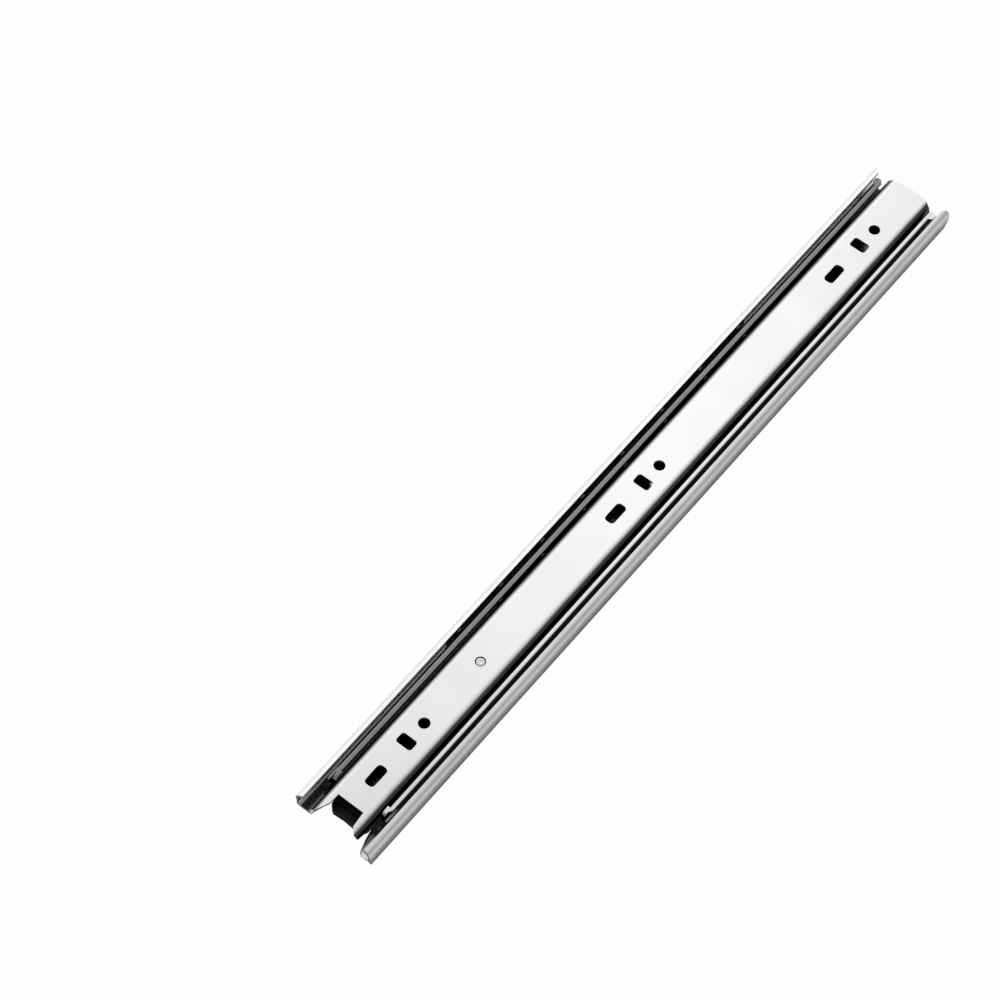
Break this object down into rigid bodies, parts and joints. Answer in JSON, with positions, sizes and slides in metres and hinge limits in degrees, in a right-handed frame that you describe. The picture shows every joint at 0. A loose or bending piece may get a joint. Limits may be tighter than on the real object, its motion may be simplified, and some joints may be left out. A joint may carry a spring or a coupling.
{
  "type": "cabinet drawer slide",
  "caption": "Full-extension ball-bearing drawer slide: nested channel members run on caged balls, with end bumpers, a closing detent and a release lever.",
  "frame": {"origin": "centre of the cabinet member's back face, in the plane that lies against the cabinet side; halfway along the slide and halfway across it", "axes": "+X along the slide, the way the drawer opens; +Y across the slide; +Z from the cabinet side to the drawer side"},
  "size_m": [0.45, 0.0454, 0.0127],
  "materials": {
    "zinc": "matt zinc-plated rolled steel",
    "bright_zinc": "bright zinc-plated rolled steel",
    "spring_steel": "oiled strip steel",
    "ball_steel": "polished steel",
    "black_plastic": "moulded satin black",
    "rubber": "moulded soft black"
  },
  "bodies": {
    "cabinet_side": {"cabinet_member": "zinc", "rear_bumper": "rubber"},
    "middle": {"intermediate_member": "bright_zinc", "front_bumper": "black_plastic", "closing_detent": "black_plastic", "detent_rivet": "ball_steel"},
    "drawer_side": {"drawer_member": "bright_zinc", "lever_rivet": "ball_steel", "detent_striker": "ball_steel"},
    "outer_cage": {"outer_ball_cage": "spring_steel", "outer_ball_left_1": "ball_steel", "outer_ball_left_2": "ball_steel", "outer_ball_left_3": "ball_steel", "outer_ball_left_4": "ball_steel", "outer_ball_left_5": "ball_steel", "outer_ball_left_6": "ball_steel", "outer_ball_left_7": "ball_steel", "outer_ball_left_8": "ball_steel", "outer_ball_right_1": "ball_steel", "outer_ball_right_2": "ball_steel", "outer_ball_right_3": "ball_steel", "outer_ball_right_4": "ball_steel", "outer_ball_right_5": "ball_steel", "outer_ball_right_6": "ball_steel", "outer_ball_right_7": "ball_steel", "outer_ball_right_8": "ball_steel"},
    "inner_cage": {"inner_ball_cage": "spring_steel", "inner_ball_left_1": "ball_steel", "inner_ball_left_2": "ball_steel", "inner_ball_left_3": "ball_steel", "inner_ball_left_4": "ball_steel", "inner_ball_left_5": "ball_steel", "inner_ball_left_6": "ball_steel", "inner_ball_left_7": "ball_steel", "inner_ball_right_1": "ball_steel", "inner_ball_right_2": "ball_steel", "inner_ball_right_3": "ball_steel", "inner_ball_right_4": "ball_steel", "inner_ball_right_5": "ball_steel", "inner_ball_right_6": "ball_steel", "inner_ball_right_7": "ball_steel"},
    "lever": {"release_lever": "black_plastic"}
  },
  "joints": [
    {"name": "middle_slide", "type": "slide", "parent": "cabinet_side", "child": "middle", "axis": [1, 0, 0], "range_m": [0, 0.215]},
    {"name": "drawer_slide", "type": "slide", "parent": "middle", "child": "drawer_side", "axis": [1, 0, 0], "range_m": [0, 0.235]},
    {"name": "outer_cage_slide", "type": "slide", "parent": "cabinet_side", "child": "outer_cage", "axis": [1, 0, 0], "range_m": [0, 0.1075]},
    {"name": "inner_cage_slide", "type": "slide", "parent": "middle", "child": "inner_cage", "axis": [1, 0, 0], "range_m": [0, 0.1175]},
    {"name": "lever_release", "type": "hinge", "parent": "drawer_side", "child": "lever", "pos_m": [0.1189, 0, 0.00975], "axis": [0, 0, -1], "range_deg": [0, 1.2], "stiffness_Nm_per_rad": 0.5}
  ],
  "couplings": [
    {"joint": "outer_cage_slide", "follows": "middle_slide", "ratio": 0.5},
    {"joint": "inner_cage_slide", "follows": "drawer_slide", "ratio": 0.5}
  ]
}
